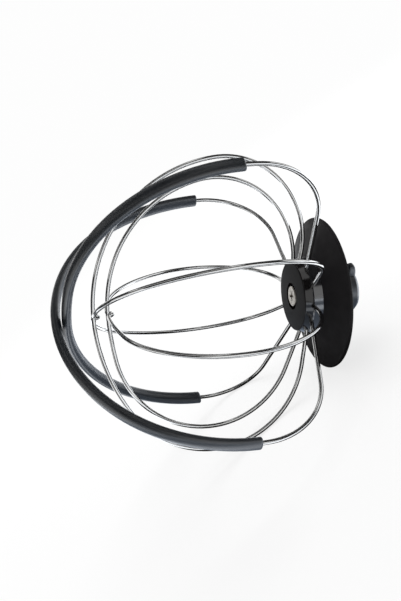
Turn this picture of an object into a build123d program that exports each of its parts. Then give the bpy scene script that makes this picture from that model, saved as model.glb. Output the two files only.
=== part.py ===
from build123d import *
from collections import namedtuple
import math
import os

# Mixer whisk: six sprung wire loops clamped between a hub and its cap, two of them inside scraper sleeves.
# Lengths are millimetres and angles are degrees.
# Each piece is made about the drive axis: Z runs from the hub to the tip and z = 0 is the parting plane
# in which the wires lie.  At the end the whisk is laid down as it comes to rest: on the disc's rim and the
# lower legs of the inner scraper wire and the near side loop.

# Wire
wire_diameter = 2.0
hook_length = 3.0
hook_bend = 2.5
grip_length = 8.5
exit_radius = 18.0
exit_bend = 6.0
socket_clearance = 0.05

# Reach of the loops along the drive axis, to the middle of the wire
near_loop_reach = 100.5
far_loop_reach = 93.0
outer_scraper_reach = 117.0

# Side loops stand beside the axis, the other loops cross it
side_loop_offset = 4.6

# Notch that a locking loop is bent to, round the side loop it holds
notch_clearance = 0.1
hump_bend = 2.1
notch_half_angle = 60

# Scraper sleeves
sleeve_thickness = 4.5
sleeve_width = 7.0
sleeve_end_round = 0.9
sleeve_bore_clearance = 0.05
sleeve_gap = 0.2

# Front cap
cap_radius = 16.8
cap_edge_height = 3.7
cap_height = 4.2
cap_skirt_radius = 17.8
cap_edge_round = 0.6

# Hub body
hub_front_radius = 18.2
hub_rear_radius = 18.8
hub_depth = 4.6
hub_front_chamfer = 0.5
boss_radius = 13.0
boss_length = 3.2
boss_clearance = 0.05

# Splash disc
disc_radius = 36.75
disc_thickness = 2.0
disc_drop = 5.0

# Drive stub
stub_flange_radius = 16.0
stub_flange_depth = 3.5
stub_radius = 10.5
stub_length = 14.0
stub_chamfer = 1.5
lug_slot = 57
lug_reach = 14.0
lug_width = 6.0
lug_depth = 4.5
lug_from_end = 2.5
lug_end_round = 1.5

# Cap screw
screw_head_diameter = 10.0
screw_head_height = 2.4
screw_head_round = 0.6
screw_seat_diameter = 13.0
screw_shank_diameter = 5.0
screw_hole_clearance = 0.2
screw_length = 20.0
recess_span = 5.0
recess_width = 1.1
recess_depth = 1.3

# Bend schedule.  A leg leaves the hub leaning away from the tip, or towards it where the lean is
# negative, runs straight and turns through its shoulder.  The radius of the nose that joins it to the
# loop's other leg is worked out.  Two legs have a flank radius between the shoulder's turn and the nose.
# bare is the length of wire left uncovered between the shoulder and a sleeve.
Leg = namedtuple("Leg", "lean straight shoulder turn flank bare", defaults=(None, None, 0))
near_upper = Leg(18.5, 3, 37)
near_lower = Leg(-14.5, 15.5, 46)
far_upper = Leg(8, 1, 37)
far_lower = Leg(-28, 19.5, 44)
near_lock_out = Leg(-10.5, 27.5, 31.5)
near_lock_back = Leg(-18.5, 15, 42)
far_lock_out = Leg(3, 8.5, 40)
far_lock_back = Leg(-2.5, 2.5, 45.5)
inner_upper = Leg(-2.5, 32.5, 33, turn=82, flank=73.5, bare=7.5)
inner_lower = Leg(-16.5, 35.5, 31, bare=2.5)
outer_upper = Leg(0.5, 25, 33, turn=92, flank=97.5, bare=0.5)
outer_lower = Leg(-12.5, 34.5, 32.5, bare=3.5)

# A loop sets off along its slot angle, beside the axis by its offset, and comes back on the other side.
# hold is the reach and offset of the side loop that a locking loop is notched round.
Loop = namedtuple("Loop", "slot offset out back reach hold")
plain_loops = {
    "side_loop_near": Loop(90, -side_loop_offset, near_upper, near_lower, near_loop_reach, None),
    "side_loop_far": Loop(90, side_loop_offset, far_upper, far_lower, far_loop_reach, None),
}
locking_loops = {
    "locking_loop_near": Loop(15, 0, near_lock_out, near_lock_back, None, near_loop_reach),
    "locking_loop_far": Loop(165, 0, far_lock_out, far_lock_back, None, far_loop_reach),
}
inner_scraper_reach = outer_scraper_reach - sleeve_thickness - sleeve_gap
scraper_loops = {
    "scraper_wire_inner": Loop(45, 0, inner_upper, inner_lower, inner_scraper_reach, None),
    "scraper_wire_outer": Loop(135, 0, outer_upper, outer_lower, outer_scraper_reach, None),
}
sleeve_names = {"scraper_wire_inner": "scraper_sleeve_inner", "scraper_wire_outer": "scraper_sleeve_outer"}


def cosd(angle):
    return math.cos(math.radians(angle))


def sind(angle):
    return math.sin(math.radians(angle))


def loop_plane(slot, offset):
    """Plane of a loop: x along the drive axis, y outwards along the slot."""
    side = Vector(-sind(slot), cosd(slot), 0)
    return Plane(origin=side * offset, x_dir=(0, 0, 1), z_dir=side)


def exit_distance(offset):
    """Where a wire leaves the hub, measured along its slot."""
    return math.sqrt(exit_radius**2 - offset**2)


def hub_steps(leg):
    """Hook, grip and exit bend of a leg: feeds, and (radius, turn) bends with left turns positive."""
    corner = exit_bend * math.tan(math.radians(abs(leg.lean) / 2))
    grip = grip_length - hook_bend - corner
    return [hook_length, (hook_bend, 90), grip, (exit_bend, leg.lean), leg.straight - corner]


def leg_steps(leg, offset, reach, nose_at):
    """All steps of a leg, from its hook to its nose at the given reach and distance out."""
    heading = 90 + leg.lean
    along = leg.straight * cosd(heading)
    out = exit_distance(offset) + leg.straight * sind(heading)
    shoulder = []
    last_bend = leg.shoulder
    if leg.flank:
        shoulder = [(leg.shoulder, -leg.turn)]
        last_bend = leg.flank
        along += leg.shoulder * (sind(heading) - sind(heading - leg.turn))
        out += leg.shoulder * (cosd(heading - leg.turn) - cosd(heading))
        heading -= leg.turn
    rise = reach - along - last_bend * sind(heading)
    fall = out - nose_at - last_bend * cosd(heading)
    nose = (rise**2 + fall**2 - last_bend**2) / (2 * (rise - last_bend))
    change = nose - last_bend
    meet = math.degrees(math.atan2((rise - nose) / change, fall / change))
    return hub_steps(leg) + shoulder + [(last_bend, meet - heading), (nose, -90 - meet)]


def trace(plane, offset, steps):
    """Path of feeds and bends in a loop's plane, starting at the foot of the hook."""
    foot = Vector(-hook_bend - hook_length, exit_distance(offset) - grip_length)
    edges = [Line(foot, foot + Vector(steps[0], 0))]
    for step in steps[1:]:
        point, way = edges[-1] @ 1, edges[-1] % 1
        if isinstance(step, tuple):
            edges.append(JernArc(point, way, *step))
        else:
            edges.append(Line(point, point + way * step))
    return [plane * edge for edge in edges]


def loop_edges(loop):
    """Path of a whole loop.  A locking loop is bent to a notch on the hub side of the loop it holds."""
    nose_steps = []
    nose_half = 0
    nose_at = 0
    reach = loop.reach
    if loop.hold:
        notch_bend = wire_diameter + notch_clearance
        nose_steps = [(hump_bend, -notch_half_angle), (notch_bend, 2 * notch_half_angle),
                      (hump_bend, -notch_half_angle)]
        nose_half = (notch_bend + hump_bend) * sind(notch_half_angle)
        nose_at = side_loop_offset / abs(cosd(loop.slot))
        reach = loop.hold + hump_bend - (notch_bend + hump_bend) * cosd(notch_half_angle)
    out = leg_steps(loop.out, loop.offset, reach, nose_at + nose_half)
    back = leg_steps(loop.back, loop.offset, reach, nose_half - nose_at)
    return trace(loop_plane(loop.slot, loop.offset), loop.offset, out + nose_steps + back[::-1])


def wire_along(path, radius):
    """Round bar swept along a path."""
    return sweep(Plane(path @ 0, z_dir=path % 0) * Circle(radius), path=path)


def socket_cutters(loop):
    """Room in the hub for the two ends of a loop."""
    cutters = []
    for slot, offset, leg in ((loop.slot, loop.offset, loop.out), (loop.slot + 180, -loop.offset, loop.back)):
        edges = trace(loop_plane(slot, offset), offset, hub_steps(leg))
        cutters.append(wire_along(Wire(edges), wire_diameter / 2 + socket_clearance))
    return cutters


def sleeve_path(loop, edges):
    """Part of a scraper wire that its sleeve covers: all between the shoulders but for the bare ends."""
    first = len(hub_steps(loop.out)) + 1
    last = len(edges) - len(hub_steps(loop.back)) - 2
    start = edges[first]
    end = edges[last]
    covered = [start.trim(loop.out.bare / start.length, 1)]
    covered += edges[first + 1:last]
    covered.append(end.trim(0, 1 - loop.back.bare / end.length))
    return Wire(covered)


def sleeve_along(loop, path):
    """Oval sleeve with a round bore, its ends rounded over."""
    side = loop_plane(loop.slot, loop.offset).z_dir
    bore = wire_diameter / 2 + sleeve_bore_clearance
    section = Ellipse(sleeve_width / 2, sleeve_thickness / 2) - Circle(bore)
    sleeve = sweep(Plane(path @ 0, x_dir=side, z_dir=path % 0) * section, path=path)
    rims = [face.outer_wire().edges() for face in sleeve.faces().filter_by(GeomType.PLANE)]
    return fillet([edge for rim in rims for edge in rim], sleeve_end_round)


def turned(*edges):
    """Solid of revolution about the drive axis, from a profile of radius and height."""
    return revolve(Plane.XZ * make_face(edges), Axis.Z)


def bar(radius, bottom, top):
    """Round bar on the drive axis."""
    return Pos(0, 0, bottom) * Cylinder(radius, top - bottom, align=(Align.CENTER, Align.CENTER, Align.MIN))


def make_front_cap():
    rim = (cap_radius, cap_edge_height)
    dome_middle = (cap_radius / 2, (cap_edge_height + 3 * cap_height) / 4)
    top = (0, cap_height)
    cap = turned(Polyline(top, (0, 0), (cap_skirt_radius, 0), rim), ThreePointArc(rim, dome_middle, top))
    rim_edge = cap.edges().filter_by(lambda edge: edge.is_closed).sort_by(Axis.Z)[-1]
    cap = fillet(rim_edge, cap_edge_round)
    cap -= bar(screw_seat_diameter / 2, screw_seat, cap_height)
    return cap - bar(screw_shank_diameter / 2 + screw_hole_clearance, 0, screw_seat)


def make_hub_body():
    hub = turned(Polyline(
        (0, 0), (hub_front_radius - hub_front_chamfer, 0), (hub_front_radius, -hub_front_chamfer),
        (hub_rear_radius, -hub_depth), (boss_radius, -hub_depth), (boss_radius, boss_end), (0, boss_end),
        close=True))
    return hub - bar(screw_shank_diameter / 2 + screw_hole_clearance, boss_end, 0)


def make_splash_disc():
    inner = boss_radius + boss_clearance
    edge = disc_radius - disc_thickness / 2
    rim_top = -hub_depth - disc_drop
    rim_bottom = rim_top - disc_thickness
    seat_bottom = -hub_depth - disc_thickness
    return turned(
        Polyline((edge, rim_bottom), (hub_rear_radius, seat_bottom), (inner, seat_bottom),
                 (inner, -hub_depth), (hub_rear_radius, -hub_depth), (edge, rim_top)),
        ThreePointArc((edge, rim_top), (disc_radius, (rim_top + rim_bottom) / 2), (edge, rim_bottom)))


def make_drive_stub():
    front = -hub_depth - disc_thickness
    flange_end = front - stub_flange_depth
    end = flange_end - stub_length
    stub = turned(Polyline(
        (0, front), (stub_flange_radius, front), (stub_flange_radius, flange_end), (stub_radius, flange_end),
        (stub_radius, end + stub_chamfer), (stub_radius - stub_chamfer, end), (0, end), close=True))
    lug_middle = end + lug_from_end + lug_depth / 2
    lugs = Box(2 * lug_reach, lug_width, lug_depth)
    lugs = fillet(lugs.edges().filter_by(Axis.Y), lug_end_round)
    stub += Pos(0, 0, lug_middle) * Rot(0, 0, lug_slot) * lugs
    stub -= bar(boss_radius + boss_clearance, boss_end - boss_clearance, front)
    return stub - bar(screw_shank_diameter / 2, screw_end, front)


def make_cap_screw():
    head_top = screw_seat + screw_head_height
    head = bar(screw_head_diameter / 2, screw_seat, head_top)
    head = fillet(head.edges().sort_by(Axis.Z)[-1], screw_head_round)
    slot = Box(recess_span, recess_width, 2 * recess_depth)
    screw = head + bar(screw_shank_diameter / 2, screw_end, screw_seat)
    return screw - Pos(0, 0, head_top) * (slot + Rot(0, 0, 90) * slot)


def wire_foot(path, up):
    """Lowest point of a wire's surface, for a given up direction."""
    samples = 600
    points = [path @ (step / samples) for step in range(samples + 1)]
    return min(points, key=lambda point: point.dot(up)) - up * (wire_diameter / 2)


def disc_foot(up):
    """Lowest point of the disc's rounded rim, for a given up direction."""
    outwards = -Vector(up.X, up.Y, 0).normalized()
    rim_middle = -hub_depth - disc_drop - disc_thickness / 2
    rim_round = disc_thickness / 2
    return outwards * (disc_radius - rim_round) + Vector(0, 0, rim_middle) - up * rim_round


def lying_plane(scraper_wire, side_loop):
    """Surface that the whisk lies on, with its x pointing from the tip to the hub."""
    up = Vector(0, 1, 0)
    for _ in range(12):
        heel = disc_foot(up)
        up = (wire_foot(side_loop, up) - heel).cross(wire_foot(scraper_wire, up) - heel).normalized()
        if up.Y < 0:
            up = -up
    return Plane(origin=heel, x_dir=Vector(0, 0, -1) + up * up.Z, z_dir=up)


screw_seat = cap_height - screw_head_height
screw_end = screw_seat - screw_length
boss_end = -hub_depth - boss_length

nodes = {
    "front_cap": make_front_cap(),
    "hub_body": make_hub_body(),
    "splash_disc": make_splash_disc(),
    "drive_stub": make_drive_stub(),
    "cap_screw": make_cap_screw(),
}
paths = {}
for name, loop in {**plain_loops, **locking_loops, **scraper_loops}.items():
    edges = loop_edges(loop)
    paths[name] = Wire(edges)
    nodes[name] = wire_along(paths[name], wire_diameter / 2)
    bar_volume = math.pi * wire_diameter**2 / 4 * paths[name].length
    print(name, "volume over section times length:", round(nodes[name].volume / bar_volume, 5))
    for cutter in socket_cutters(loop):
        nodes["hub_body"] -= cutter
        nodes["front_cap"] -= cutter
    if name in sleeve_names:
        sleeve = sleeve_names[name]
        paths[sleeve] = sleeve_path(loop, edges)
        nodes[sleeve] = sleeve_along(loop, paths[sleeve])

lying = lying_plane(paths["scraper_wire_inner"], paths["side_loop_near"])
laid = {name: lying.to_local_coords(node) for name, node in nodes.items()}
box = Compound(list(laid.values())).bounding_box()
middle = box.center()
os.makedirs("parts", exist_ok=True)
for name, node in laid.items():
    export_step(Pos(-middle.X, -middle.Y, -box.min.Z) * node, f"parts/{name}.step")
print("lowest", box.min.Z, "tip raised", round(math.degrees(math.asin(lying.z_dir.Z)), 2), "size", box.size)
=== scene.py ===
# %% [markdown]
# # A mixer whisk on a white table
# The whisk's solids arrive as a finished frame, in metres, lying as they come to rest. This lesson
# dresses them: steel wire, satin sleeves, matt and glossy mouldings, then a pale floor, the camera
# of the photograph and soft light. It starts by loading the frame and printing the names of its
# nodes.

# %% Load the frame
import math
import bmesh
import bpy
import numpy as np
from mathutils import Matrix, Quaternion, Vector


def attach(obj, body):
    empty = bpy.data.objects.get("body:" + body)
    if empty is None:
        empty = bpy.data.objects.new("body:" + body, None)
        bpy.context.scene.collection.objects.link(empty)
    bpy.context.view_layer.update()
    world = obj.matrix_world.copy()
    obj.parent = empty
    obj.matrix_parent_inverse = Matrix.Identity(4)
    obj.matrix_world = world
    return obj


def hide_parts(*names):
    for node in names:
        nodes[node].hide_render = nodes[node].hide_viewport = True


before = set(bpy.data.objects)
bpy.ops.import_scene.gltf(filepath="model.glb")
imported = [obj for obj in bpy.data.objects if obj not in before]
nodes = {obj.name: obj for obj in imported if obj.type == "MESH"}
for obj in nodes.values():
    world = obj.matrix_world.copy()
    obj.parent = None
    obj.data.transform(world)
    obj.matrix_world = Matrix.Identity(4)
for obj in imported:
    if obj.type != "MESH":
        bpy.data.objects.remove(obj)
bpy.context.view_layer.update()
print("nodes:", sorted(nodes))

# %% [markdown]
# ## Tools for materials
# A finish is a graph of shader nodes. The nodes could be placed by hand in the Shader Editor, but a
# script can be read and run again. Colours are easiest to choose as hex values, while shaders work in
# linear light, so one function converts them. Another adds any node in one call: each socket gets a
# plain value, or the output that feeds it. Patterns are measured in millimetres on the object.

# %% Tools for materials
MM = 0.001


def colour(hex_code):
    """Linear RGBA of an sRGB hex colour."""
    channels = [int(hex_code[i:i + 2], 16) / 255 for i in (1, 3, 5)]
    linear = [c / 12.92 if c <= 0.04045 else ((c + 0.055) / 1.055) ** 2.4 for c in channels]
    return (*linear, 1.0)


def add_node(tree, kind, sockets, **settings):
    """Adds a node, applies its settings, and gives each socket a value or a link."""
    node = tree.nodes.new(kind)
    for name, value in settings.items():
        setattr(node, name, value)
    for name, value in sockets.items():
        if isinstance(value, bpy.types.NodeSocket):
            tree.links.new(value, node.inputs[name])
        else:
            node.inputs[name].default_value = value
    return node


def blank_material(name):
    """A material with an empty node tree."""
    material = bpy.data.materials.new(name)
    material.use_nodes = True
    material.node_tree.nodes.clear()
    return material, material.node_tree


def per_metre(size_mm):
    """Scale of a pattern whose patches are size_mm across: how many fit in a metre."""
    return 1 / (size_mm * MM)


def dress(material, *names):
    """Puts a material on nodes of the frame."""
    for name in names:
        mesh = nodes[name].data
        mesh.materials.clear()
        mesh.materials.append(material)
    print(material.name, "on", ", ".join(names))


print("mid grey in linear light:", [round(c, 3) for c in colour("#808080")])

# %% [markdown]
# ## Wire: drawn stainless steel
# The loops are stainless spring wire, drawn through a die and polished. A metallic shader with one
# low roughness would do, but it looks like chrome plate. Drawn wire gives itself away because its
# mirror wavers, so the roughness drifts in patches, and small ripples bend the reflections.

# %% Drawn stainless
noise_low, noise_high = 0.3, 0.7  # nearly all of a noise pattern's values lie between these


def drawn_stainless():
    # Bright and mirror-like, with reflections that waver along the wire. The ripples are drawn
    # coarser than real drawing marks, which would be too fine to show.
    patch_mm, ripple_mm, ripple_height_mm = 6, 2.5, 0.02
    material, tree = blank_material("drawn_stainless")
    place = add_node(tree, "ShaderNodeTexCoord", {}).outputs["Object"]
    patches = add_node(tree, "ShaderNodeTexNoise", {"Vector": place, "Scale": per_metre(patch_mm)})
    polish = add_node(tree, "ShaderNodeMapRange", {
        "Value": patches.outputs["Fac"], "From Min": noise_low, "From Max": noise_high,
        "To Min": 0.04, "To Max": 0.12})
    ripples = add_node(tree, "ShaderNodeTexNoise", {"Vector": place, "Scale": per_metre(ripple_mm)})
    bump = add_node(tree, "ShaderNodeBump", {
        "Height": ripples.outputs["Fac"], "Strength": 0.2, "Distance": ripple_height_mm * MM})
    shader = add_node(tree, "ShaderNodeBsdfPrincipled", {
        "Base Color": colour("#d2d2d1"), "Metallic": 1.0,
        "Roughness": polish.outputs["Result"], "Normal": bump.outputs["Normal"]})
    add_node(tree, "ShaderNodeOutputMaterial", {"Surface": shader.outputs["BSDF"]})
    return material


dress(drawn_stainless(), "side_loop_near", "side_loop_far", "locking_loop_near", "locking_loop_far",
      "scraper_wire_inner", "scraper_wire_outer")

# %% [markdown]
# ## Sleeves: satin nylon
# The sleeves that scrape the bowl are extruded nylon tube, nearly black. Their satin skin takes a broad
# soft sheen from the table. A lighter base colour would turn the whole tube grey. A rough coat over a
# dark base keeps it black and puts the sheen only where light falls, so that way is used here.

# %% Satin nylon
def satin_nylon():
    # Black with a wide soft highlight, and a painted blue cast in both shades that stands in for the
    # sheen thrown up by the table. Colour and polish drift together, as handling wears the skin. The
    # grain is drawn coarser than real extrusion grain, so that it shows.
    wear_mm, grain_mm, grain_height_mm = 14, 0.5, 0.02
    material, tree = blank_material("satin_nylon")
    place = add_node(tree, "ShaderNodeTexCoord", {}).outputs["Object"]
    wear = add_node(tree, "ShaderNodeTexNoise", {"Vector": place, "Scale": per_metre(wear_mm)})
    # both shades: black nylon with a painted blue cast standing in for the table's sheen
    shade = add_node(tree, "ShaderNodeMix", {
        "Factor": wear.outputs["Fac"], "A": colour("#0e1216"), "B": colour("#161c23")}, data_type="RGBA")
    polish = add_node(tree, "ShaderNodeMapRange", {
        "Value": wear.outputs["Fac"], "From Min": noise_low, "From Max": noise_high,
        "To Min": 0.36, "To Max": 0.46})
    grain = add_node(tree, "ShaderNodeTexNoise", {"Vector": place, "Scale": per_metre(grain_mm)})
    bump = add_node(tree, "ShaderNodeBump", {
        "Height": grain.outputs["Fac"], "Strength": 0.2, "Distance": grain_height_mm * MM})
    shader = add_node(tree, "ShaderNodeBsdfPrincipled", {
        "Base Color": shade.outputs["Result"], "Roughness": polish.outputs["Result"],
        "Normal": bump.outputs["Normal"], "Specular IOR Level": 0.7,
        "Coat Weight": 0.6, "Coat Roughness": 0.38})
    add_node(tree, "ShaderNodeOutputMaterial", {"Surface": shader.outputs["BSDF"]})
    return material


nylon = satin_nylon()
dress(nylon, "scraper_sleeve_inner", "scraper_sleeve_outer")

# %% [markdown]
# ## Disc: matt ABS
# The splash disc is moulded ABS. Its mould was spark-eroded, which leaves a fine even grain and hardly
# any gloss. The grain could be modelled, but it is far too fine for that, so it is a bump. A low
# specular level keeps the disc black, although it is seen nearly edge on.

# %% Matt ABS
def matt_abs():
    # Black, even and dull. The grain is drawn coarser than a real spark-eroded one, so that it shows.
    cloud_mm, patch_mm, grain_mm, grain_height_mm = 9, 5, 0.4, 0.03
    material, tree = blank_material("matt_abs")
    place = add_node(tree, "ShaderNodeTexCoord", {}).outputs["Object"]
    clouds = add_node(tree, "ShaderNodeTexNoise", {"Vector": place, "Scale": per_metre(cloud_mm)})
    shade = add_node(tree, "ShaderNodeMix", {
        "Factor": clouds.outputs["Fac"], "A": colour("#161416"), "B": colour("#1d1b1d")}, data_type="RGBA")
    patches = add_node(tree, "ShaderNodeTexNoise", {"Vector": place, "Scale": per_metre(patch_mm)})
    dullness = add_node(tree, "ShaderNodeMapRange", {
        "Value": patches.outputs["Fac"], "From Min": noise_low, "From Max": noise_high,
        "To Min": 0.5, "To Max": 0.62})
    grain = add_node(tree, "ShaderNodeTexNoise", {"Vector": place, "Scale": per_metre(grain_mm)})
    bump = add_node(tree, "ShaderNodeBump", {
        "Height": grain.outputs["Fac"], "Strength": 0.35, "Distance": grain_height_mm * MM})
    shader = add_node(tree, "ShaderNodeBsdfPrincipled", {
        "Base Color": shade.outputs["Result"], "Roughness": dullness.outputs["Result"],
        "Normal": bump.outputs["Normal"], "Specular IOR Level": 0.2})
    add_node(tree, "ShaderNodeOutputMaterial", {"Surface": shader.outputs["BSDF"]})
    return material


dress(matt_abs(), "splash_disc")

# %% [markdown]
# ## Cap: ABS with a matt face and a polished skirt
# The cap clamps the wires from the front. Its face is as dull as the disc, and its skirt is polished.
# Two materials would need the mesh to be cut in two. Instead the finish follows the direction that the
# surface faces: along the whisk's axis it is the face, and across the axis it is the skirt.

# %% Two-finish ABS
axis_back = np.array([0.8412, 0, -0.5408])  # along the whisk, from its tip to the mixer
skirt_facing, face_facing = 0.3, 0.8


def two_finish_abs():
    # A dull black face, and a skirt whose clear coat mirrors the table.
    cloud_mm, grain_mm, grain_height_mm = 9, 0.4, 0.03
    material, tree = blank_material("two_finish_abs")
    place = add_node(tree, "ShaderNodeTexCoord", {}).outputs["Object"]
    clouds = add_node(tree, "ShaderNodeTexNoise", {"Vector": place, "Scale": per_metre(cloud_mm)})
    shade = add_node(tree, "ShaderNodeMix", {
        "Factor": clouds.outputs["Fac"], "A": colour("#0a0808"), "B": colour("#100d0d")}, data_type="RGBA")
    surface = add_node(tree, "ShaderNodeNewGeometry", {})
    facing = add_node(tree, "ShaderNodeVectorMath", {
        0: surface.outputs["Normal"], 1: tuple(-axis_back)}, operation="DOT_PRODUCT")
    dullness = add_node(tree, "ShaderNodeMapRange", {
        "Value": facing.outputs["Value"], "From Min": skirt_facing, "From Max": face_facing,
        "To Min": 0.16, "To Max": 0.6})
    gloss = add_node(tree, "ShaderNodeMapRange", {
        "Value": facing.outputs["Value"], "From Min": skirt_facing, "From Max": face_facing,
        "To Min": 1.0, "To Max": 0.0})
    grain = add_node(tree, "ShaderNodeTexNoise", {"Vector": place, "Scale": per_metre(grain_mm)})
    bump = add_node(tree, "ShaderNodeBump", {
        "Height": grain.outputs["Fac"], "Strength": 0.2, "Distance": grain_height_mm * MM})
    shader = add_node(tree, "ShaderNodeBsdfPrincipled", {
        "Base Color": shade.outputs["Result"], "Roughness": dullness.outputs["Result"],
        "Normal": bump.outputs["Normal"], "Specular IOR Level": 0.12,
        "Coat Weight": gloss.outputs["Result"], "Coat Roughness": 0.1})
    add_node(tree, "ShaderNodeOutputMaterial", {"Surface": shader.outputs["BSDF"]})
    return material


dress(two_finish_abs(), "front_cap")

# %% [markdown]
# ## Hub: polished ABS
# The hub comes from a polished mould. It is as black as the disc, but mirrors the table in clear
# facets between the wires. One low roughness would look like glass. A full coat over a base whose
# roughness drifts slowly keeps the reflection clear and the plastic soft.

# %% Polished ABS
def polished_abs():
    # Piano black, with reflections that are sharp in some places and a little milky in others.
    cloud_mm, patch_mm = 12, 7
    material, tree = blank_material("polished_abs")
    place = add_node(tree, "ShaderNodeTexCoord", {}).outputs["Object"]
    clouds = add_node(tree, "ShaderNodeTexNoise", {"Vector": place, "Scale": per_metre(cloud_mm)})
    shade = add_node(tree, "ShaderNodeMix", {
        "Factor": clouds.outputs["Fac"], "A": colour("#0e0f12"), "B": colour("#141519")}, data_type="RGBA")
    patches = add_node(tree, "ShaderNodeTexNoise", {"Vector": place, "Scale": per_metre(patch_mm)})
    polish = add_node(tree, "ShaderNodeMapRange", {
        "Value": patches.outputs["Fac"], "From Min": noise_low, "From Max": noise_high,
        "To Min": 0.1, "To Max": 0.2})
    shader = add_node(tree, "ShaderNodeBsdfPrincipled", {
        "Base Color": shade.outputs["Result"], "Roughness": polish.outputs["Result"],
        "Specular IOR Level": 0.9, "Coat Weight": 1.0, "Coat Roughness": 0.1})
    add_node(tree, "ShaderNodeOutputMaterial", {"Surface": shader.outputs["BSDF"]})
    return material


# the stub's own node is hidden later, behind the pieces that replace it
dress(polished_abs(), "hub_body", "drive_stub")

# %% [markdown]
# ## Screw: turned stainless steel
# The screw in the cap is turned from stainless bar and tumbled, so beside the wire it is dull and
# slightly warm. Its recess is real geometry. The tumbling marks could be painted, but patches of
# roughness and a little relief catch the light as the real ones do.

# %% Turned stainless
def turned_stainless():
    # Warm satin grey with small brighter spots. The marks are drawn coarse enough to show.
    patch_mm, mark_mm, mark_height_mm = 1.2, 0.6, 0.02
    material, tree = blank_material("turned_stainless")
    place = add_node(tree, "ShaderNodeTexCoord", {}).outputs["Object"]
    patches = add_node(tree, "ShaderNodeTexNoise", {"Vector": place, "Scale": per_metre(patch_mm)})
    satin = add_node(tree, "ShaderNodeMapRange", {
        "Value": patches.outputs["Fac"], "From Min": noise_low, "From Max": noise_high,
        "To Min": 0.25, "To Max": 0.42})
    marks = add_node(tree, "ShaderNodeTexNoise", {"Vector": place, "Scale": per_metre(mark_mm)})
    bump = add_node(tree, "ShaderNodeBump", {
        "Height": marks.outputs["Fac"], "Strength": 0.3, "Distance": mark_height_mm * MM})
    shader = add_node(tree, "ShaderNodeBsdfPrincipled", {
        "Base Color": colour("#b5b0a8"), "Metallic": 1.0,
        "Roughness": satin.outputs["Result"], "Normal": bump.outputs["Normal"]})
    add_node(tree, "ShaderNodeOutputMaterial", {"Surface": shader.outputs["BSDF"]})
    return material


dress(turned_stainless(), "cap_screw")

# %% [markdown]
# ## Drive stub
# Behind the disc a satin stub pushes into the mixer, and two lugs lock it there. It could be modelled
# from a cylinder with loop cuts, but a grid of points worked out with numpy is exact and easy to change.
# The first step is a helper that turns such a grid into a closed mesh and puts it in the node's place.

# %% From a grid to a piece
crease_angle = math.radians(35)
merge_mm = 0.002
stub_pieces = []


def add_stub_piece(name, grid_mm):
    """Closed mesh through a grid whose columns run round and whose first and last rows are poles."""
    rows, columns = grid_mm.shape[:2]
    row, column = np.meshgrid(np.arange(rows - 1), np.arange(columns), indexing="ij")
    after = (column + 1) % columns
    faces = np.stack([row * columns + column, row * columns + after,
                      (row + 1) * columns + after, (row + 1) * columns + column], axis=-1)
    mesh = bpy.data.meshes.new(name)
    mesh.from_pydata((grid_mm.reshape(-1, 3) * MM).tolist(), [], faces.reshape(-1, 4).tolist())
    form = bmesh.new()
    form.from_mesh(mesh)
    bmesh.ops.remove_doubles(form, verts=form.verts, dist=merge_mm * MM)
    bmesh.ops.recalc_face_normals(form, faces=form.faces)
    form.to_mesh(mesh)
    form.free()
    mesh.shade_smooth()
    mesh.set_sharp_from_angle(angle=crease_angle)
    mesh.materials.append(nylon)
    piece = bpy.data.objects.new(name, mesh)
    bpy.context.scene.collection.objects.link(piece)
    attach(piece, "root")
    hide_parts("drive_stub")
    stub_pieces.append(piece)
    print(name, len(mesh.polygons), "faces")


# %% [markdown]
# The stub itself is a turned form: a flange against the disc, a root fillet, a shaft with a chamfer,
# and a bore in its end. A Screw modifier could spin the profile. Here each point's radius and depth are
# multiplied out against all angles at once, about the whisk's own tilted axis. It stands a little
# further out than the plain solid, as far as the photograph shows it past the disc's edge.

# %% Turned stub
hub_place = np.array([37.93, -1.5, 36.8])  # millimetres, where the wires part
side_up = np.array([0.5408, 0, 0.8412])
side_across = np.array([0, 1, 0])
# radius and depth behind the hub's place, in millimetres
stub_profile = np.array([(0, 6.6), (15.6, 6.6), (16, 7), (16, 9.6), (15.5, 10.1), (12, 10.1),
                         (10.9, 10.5), (10.5, 11.3), (10.5, 25.6), (9.2, 27), (8.8, 27.2),
                         (4.5, 27.2), (4.2, 26.8), (4.2, 25), (0, 25)])


def turned_grid(profile, columns=72):
    """Radius times the direction at each angle, plus depth along the whisk's axis."""
    turn = np.linspace(0, 2 * np.pi, columns, endpoint=False)
    round_way = np.cos(turn)[:, None] * side_up + np.sin(turn)[:, None] * side_across
    return hub_place + profile[:, None, :1] * round_way + profile[:, None, 1:] * axis_back


add_stub_piece("drive_stub_turned", turned_grid(stub_profile))

# %% [markdown]
# The lugs are the two ends of one rounded bar through the stub, as a pin would be. A bevelled cube
# would give the same bar with even edges. A superellipse, between a circle and a square, gives it the
# softer rounding of a moulding.

# %% Lugs
lug_turn = math.radians(-22.5)
lug_length, lug_width, lug_depth, lug_middle = 30.4, 6, 4.5, 24.6  # millimetres
section_power = 4  # 2 is a circle, and higher is squarer
end_power = 8  # higher is a blunter end


def lug_grid(rows=41, columns=32):
    """A superellipse section carried across the axis, whose size falls to nothing at both ends."""
    along = np.sin(np.linspace(-np.pi / 2, np.pi / 2, rows))
    swell = (1 - np.abs(along) ** end_power) ** 0.5
    turn = np.linspace(0, 2 * np.pi, columns, endpoint=False)
    powers = np.abs(np.cos(turn)) ** section_power + np.abs(np.sin(turn)) ** section_power
    reach = powers ** (-1 / section_power)
    lug_way = math.cos(lug_turn) * side_up + math.sin(lug_turn) * side_across
    cross_way = np.cross(axis_back, lug_way)
    across = np.outer(swell, reach * np.cos(turn)) * lug_width / 2
    deep = lug_middle + np.outer(swell, reach * np.sin(turn)) * lug_depth / 2
    return (hub_place + along[:, None, None] * lug_length / 2 * lug_way
            + across[..., None] * cross_way + deep[..., None] * axis_back)


add_stub_piece("drive_stub_lugs", lug_grid())

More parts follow.
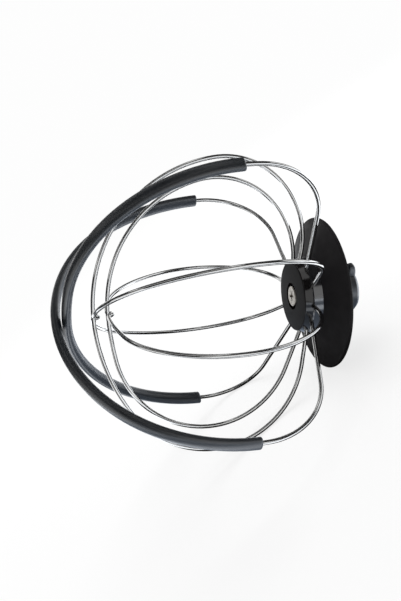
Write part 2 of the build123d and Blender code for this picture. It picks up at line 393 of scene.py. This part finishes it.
# %% [markdown]
# ## Floor
# The whisk lies on a white table. A plane with a horizon would show its edge from other sides, so the
# floor is a disc that fades out into the white room. Part of its white is a glow that only the camera,
# reflections and glass see: the shadows stay as light as in the photograph, with no more light on the
# whisk. It has no gloss, because a glossy floor would mirror the studio cards.

# %% Floor sheet
def ring_patch(inner_mm, outer_mm, height_mm, columns=97):
    """Flat ring: radius times the direction at each angle, at one height."""
    turn, reach = np.meshgrid(np.linspace(0, 2 * np.pi, columns), [inner_mm, outer_mm], indexing="ij")
    return np.stack([reach * np.cos(turn), reach * np.sin(turn), np.full_like(turn, height_mm)], axis=-1)


def stage_sheet(name, grid_mm, material):
    """Open mesh through a grid, for the studio and not the whisk: each cell of the grid is a face."""
    rows, columns = grid_mm.shape[:2]
    corner = (np.arange(rows - 1)[:, None] * columns + np.arange(columns - 1)).ravel()
    faces = np.stack([corner, corner + columns, corner + columns + 1, corner + 1], axis=-1)
    mesh = bpy.data.meshes.new(name)
    mesh.from_pydata((grid_mm.reshape(-1, 3) * MM).tolist(), [], faces.tolist())
    mesh.materials.append(material)
    sheet = bpy.data.objects.new(name, mesh)
    bpy.context.scene.collection.objects.link(sheet)
    return sheet


def seen_or_mirrored(tree):
    """1 for rays from the camera, off a gloss or through glass, and 0 for light that falls on things."""
    path = add_node(tree, "ShaderNodeLightPath", {}).outputs
    bounced = add_node(tree, "ShaderNodeMath", {
        0: path["Is Glossy Ray"], 1: path["Is Transmission Ray"]}, operation="MAXIMUM")
    either = add_node(tree, "ShaderNodeMath", {
        0: path["Is Camera Ray"], 1: bounced.outputs["Value"]}, operation="MAXIMUM")
    return either.outputs["Value"]


# %% Floor paint
floor_reach_mm = 900
fade_start_mm, fade_end_mm = 260, 620
floor_glow = 0.74


def table_paint():
    # Matt white paint: even, with soft grey shadows.
    material, tree = blank_material("table_paint")
    glow = add_node(tree, "ShaderNodeMath", {0: seen_or_mirrored(tree), 1: floor_glow}, operation="MULTIPLY")
    place = add_node(tree, "ShaderNodeTexCoord", {}).outputs["Object"]
    distance = add_node(tree, "ShaderNodeVectorMath", {0: place}, operation="LENGTH")
    fade = add_node(tree, "ShaderNodeMapRange", {
        "Value": distance.outputs["Value"], "From Min": fade_start_mm * MM, "From Max": fade_end_mm * MM,
        "To Min": 1.0, "To Max": 0.0}, interpolation_type="SMOOTHSTEP")
    shader = add_node(tree, "ShaderNodeBsdfPrincipled", {
        "Base Color": colour("#808080"), "Roughness": 0.6, "Specular IOR Level": 0.0,
        "Emission Color": colour("#ffffff"), "Emission Strength": glow.outputs["Value"],
        "Alpha": fade.outputs["Result"]})
    add_node(tree, "ShaderNodeOutputMaterial", {"Surface": shader.outputs["BSDF"]})
    return material


stage_sheet("floor", ring_patch(0, floor_reach_mm, 0), table_paint())
print("floor fades out between", fade_start_mm, "and", fade_end_mm, "mm")

# %% [markdown]
# ## Camera
# The photograph was turned after it was taken, so the camera is rolled. It could be lined up by eye in
# the viewport, but its place, aim, roll and focal length are worked out, by matching the loops and the
# disc to the picture. The lens follows from the focal length in pixels, because the sensor's width lies
# along the picture's longer side.

# %% Camera
photo_height = 601
focal_pixels = 760.7
camera_place = Vector((-21.9, -340.4, 180.0)) * MM
camera_aim = Vector((-1.9, 0.3, 65.6)) * MM
camera_roll = math.radians(-37.3)

camera_data = bpy.data.cameras.new("camera")
camera_data.sensor_width = 36
camera_data.lens = camera_data.sensor_width * focal_pixels / photo_height
camera_data.clip_start = 10 * MM
camera = bpy.data.objects.new("camera", camera_data)
bpy.context.scene.collection.objects.link(camera)
level = (camera_aim - camera_place).to_track_quat("-Z", "Y")
camera.rotation_mode = "QUATERNION"
camera.rotation_quaternion = level @ Quaternion((0, 0, 1), camera_roll)
camera.location = camera_place
bpy.context.scene.camera = camera
print("lens", round(camera_data.lens, 1), "mm")

# %% [markdown]
# ## Lamps
# A wide softbox above and behind gives the soft shadows. A second one lies on the table and stands for
# the light that a white table throws up, which gives the dark pieces their blue sheen. A brighter floor
# could do that too, but it would wash out the shadows. The wire would only turn white, so light linking
# keeps the second lamp to the dark pieces.

# %% Lamps
def softbox(name, place_mm, aim_mm, size_mm, watts, tint, in_reflections):
    """Round area lamp that the camera doesn't see."""
    data = bpy.data.lights.new(name, "AREA")
    data.shape = "DISK"
    data.size = size_mm * MM
    data.energy = watts
    data.color = colour(tint)[:3]
    lamp = bpy.data.objects.new(name, data)
    lamp.location = Vector(place_mm) * MM
    lamp.rotation_mode = "QUATERNION"
    lamp.rotation_quaternion = (Vector(aim_mm) - Vector(place_mm)).to_track_quat("-Z", "Y")
    lamp.visible_camera = False
    lamp.visible_glossy = in_reflections
    bpy.context.scene.collection.objects.link(lamp)
    print(name, watts, "W")
    return lamp


softbox("overhead", place_mm=(250, 520, 700), aim_mm=(0, 0, 40), size_mm=700,
        watts=6.0, tint="#ffffff", in_reflections=False)
table_bounce = softbox("table_bounce", place_mm=(-20, -110, 2), aim_mm=(-20, -110, 100), size_mm=620,
                       watts=0.5, tint="#c9d9f0", in_reflections=True)

dark_nodes = ("scraper_sleeve_inner", "scraper_sleeve_outer", "hub_body", "front_cap")
bounce_on = bpy.data.collections.new("bounce_on")
for piece in [nodes[name] for name in dark_nodes] + stub_pieces:
    bounce_on.objects.link(piece)
table_bounce.light_linking.receiver_collection = bounce_on

# %% [markdown]
# ## Room
# The room is white where it is seen or mirrored, and a gentler even fill for everything it lights. One
# strength for both would either grey the background or flatten the shadows.

# %% Room
ambient = 0.75
background = 0.985

world = bpy.data.worlds.new("white_room")
bpy.context.scene.world = world
world.use_nodes = True
room = world.node_tree
room.nodes.clear()
strength = add_node(room, "ShaderNodeMix", {
    "Factor": seen_or_mirrored(room), "A": ambient, "B": background})
walls = add_node(room, "ShaderNodeBackground", {
    "Color": colour("#ffffff"), "Strength": strength.outputs["Result"]})
add_node(room, "ShaderNodeOutputWorld", {"Surface": walls.outputs["Background"]})
bpy.context.scene.view_settings.view_transform = "Standard"
print("room:", ambient, "as light,", background, "as seen")

# %% [markdown]
# ## Studio cards
# Polished wire in a white room would vanish. A photographer hangs black cloth and white card where the
# wire mirrors them, and so does this scene: a split black top, four posts, and rings on the table. They
# draw the dark and bright lines along each wire. Only reflections see them, so they shade nothing.

# %% Card helpers
def dome_patch(radius_mm, azimuths, elevations):
    """Patch of a sphere: the radius times the direction at each azimuth and elevation."""
    turn, rise = np.meshgrid(np.radians(np.linspace(*azimuths, 49)), np.radians(np.linspace(*elevations, 9)),
                             indexing="ij")
    flat = np.cos(rise)
    return radius_mm * np.stack([flat * np.cos(turn), flat * np.sin(turn), np.sin(rise)], axis=-1)


def hang_card(name, grid_mm, material):
    """Stage sheet that only reflections see."""
    sheet = stage_sheet(name, grid_mm, material)
    sheet.visible_camera = False
    sheet.visible_diffuse = False
    sheet.visible_shadow = False


def card_material(name, base, glow_tint, glow):
    """Plain cloth or card, which glows where it stands for a lit one."""
    material, tree = blank_material(name)
    shader = add_node(tree, "ShaderNodeBsdfPrincipled", {
        "Base Color": colour(base), "Emission Color": colour(glow_tint), "Emission Strength": glow})
    add_node(tree, "ShaderNodeOutputMaterial", {"Surface": shader.outputs["BSDF"]})
    return material


# %% Hang the cards
black_cloth = card_material("black_cloth", "#120e0c", "#ffffff", 0.0)
white_card = card_material("white_card", "#ffffff", "#e3ecf8", 0.75)
dome_mm = 700
top_bands = ((30, 54), (61, 90))  # degrees above the table
post_starts = (-62, 18, 118, 198)  # degrees round the whisk
post_width = 44
post_band = (0, 30)
ring_edges_mm = (0, 75, 115, 220, 600)
ring_height_mm = 0.2

for number, band in enumerate(top_bands):
    hang_card(f"black_top_{number}", dome_patch(dome_mm, (0, 360), band), black_cloth)
for number, start in enumerate(post_starts):
    post = dome_patch(dome_mm, (start, start + post_width), post_band)
    hang_card(f"black_post_{number}", post, black_cloth)
for number, (inner, outer) in enumerate(zip(ring_edges_mm, ring_edges_mm[1:])):
    ring = ring_patch(inner, outer, ring_height_mm)
    hang_card(f"ground_ring_{number}", ring, (black_cloth, white_card)[number % 2])
print("cards:", len(top_bands), "bands,", len(post_starts), "posts,", len(ring_edges_mm) - 1, "rings")
